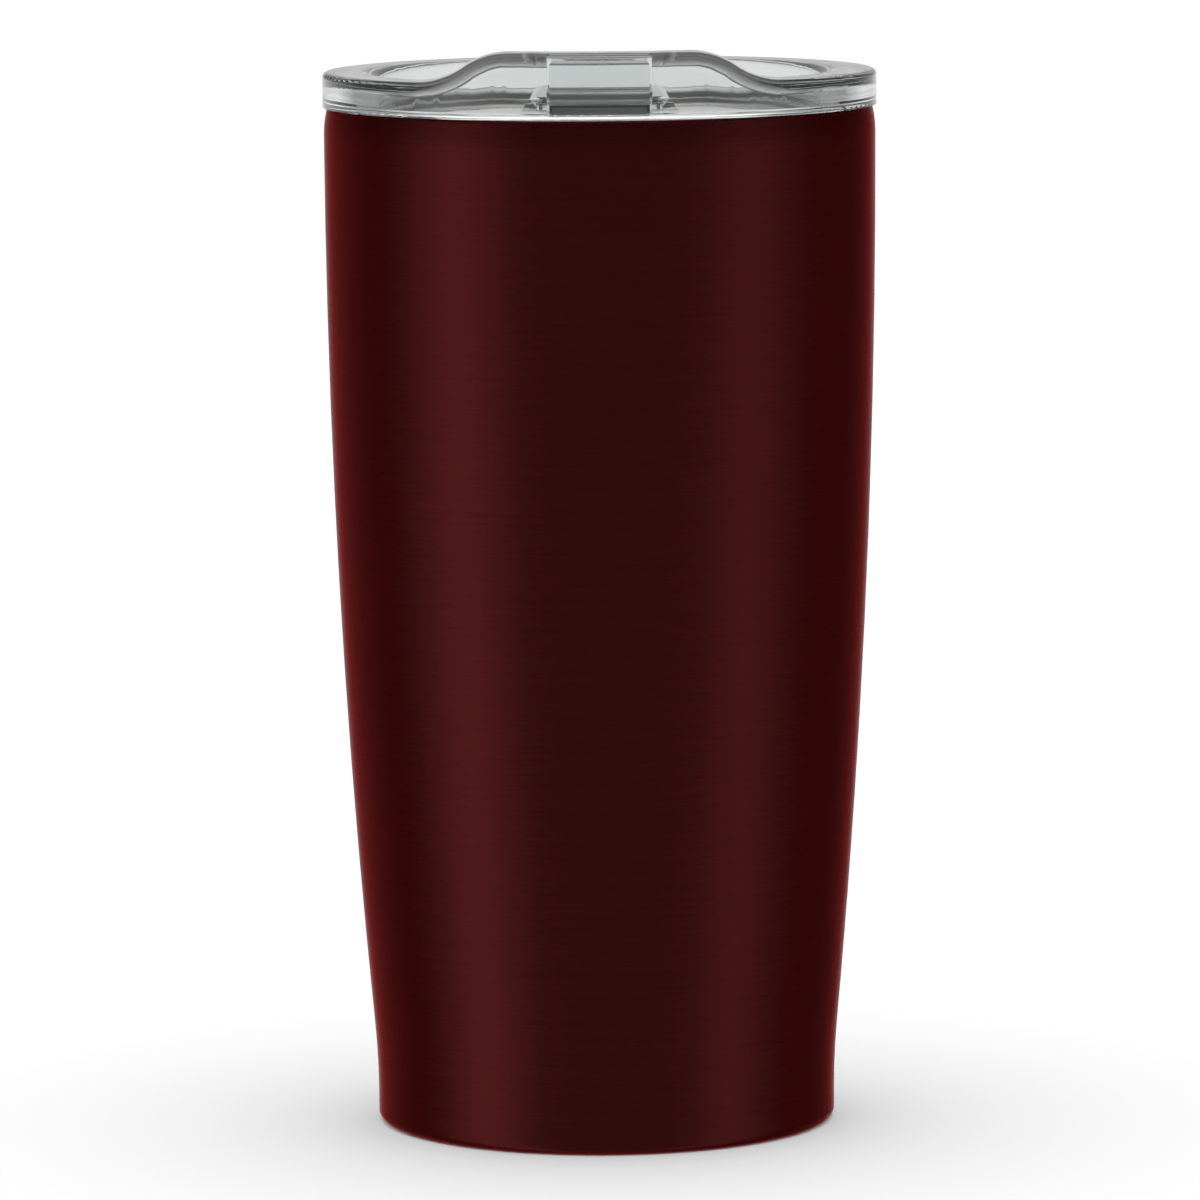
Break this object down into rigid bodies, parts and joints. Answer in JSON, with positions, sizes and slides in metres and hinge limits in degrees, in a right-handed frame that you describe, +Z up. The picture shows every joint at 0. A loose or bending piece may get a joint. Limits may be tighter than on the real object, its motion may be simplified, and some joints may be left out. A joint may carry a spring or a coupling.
{
  "type": "insulated tumbler with lid",
  "caption": "Vacuum-insulated steel tumbler with a tapered lacquered shell and a clear push-in lid, whose slider covers the sip slot behind a raised drinking lip.",
  "frame": {"origin": "centre of the foot, on the surface the tumbler stands on", "axes": "+Z up along the tumbler's axis, -Y towards the drinking lip and the drinker, +X to the drinker's left"},
  "size_m": [0.0888, 0.0888, 0.1749],
  "materials": {
    "outer_shell": "translucent maroon lacquer over brushed steel, satin",
    "inner_liner": "bare stainless steel, satin",
    "liner_base": "bare stainless steel, satin",
    "radiation_foil": "thin bright foil",
    "vacuum_base": "pressed stainless steel",
    "sealing_bead": "fused glass solder",
    "getter_cup": "pressed steel",
    "getter_pill": "sintered metal powder",
    "base_cap": "stainless steel, fine circular brushing",
    "lid_shell": "clear moulded copolyester with a light grey tint, polished",
    "lid_gasket": "translucent white silicone",
    "slider": "clear moulded copolyester, polished",
    "slider_seal": "translucent white silicone"
  },
  "bodies": {
    "tumbler": {"outer_shell": "outer_shell", "inner_liner": "inner_liner", "liner_base": "liner_base", "radiation_foil": "radiation_foil", "vacuum_base": "vacuum_base", "sealing_bead": "sealing_bead", "getter_cup": "getter_cup", "getter_pill": "getter_pill", "base_cap": "base_cap"},
    "lid": {"lid_shell": "lid_shell", "lid_gasket": "lid_gasket"},
    "slider": {"slider": "slider", "slider_seal": "slider_seal"}
  },
  "joints": [
    {"name": "lid_lift", "type": "slide", "parent": "tumbler", "child": "lid", "axis": [0, 0, 1], "range_m": [0, 0.12]},
    {"name": "slider_slide", "type": "slide", "parent": "lid", "child": "slider", "axis": [0, 1, 0], "range_m": [0, 0.012]}
  ]
}
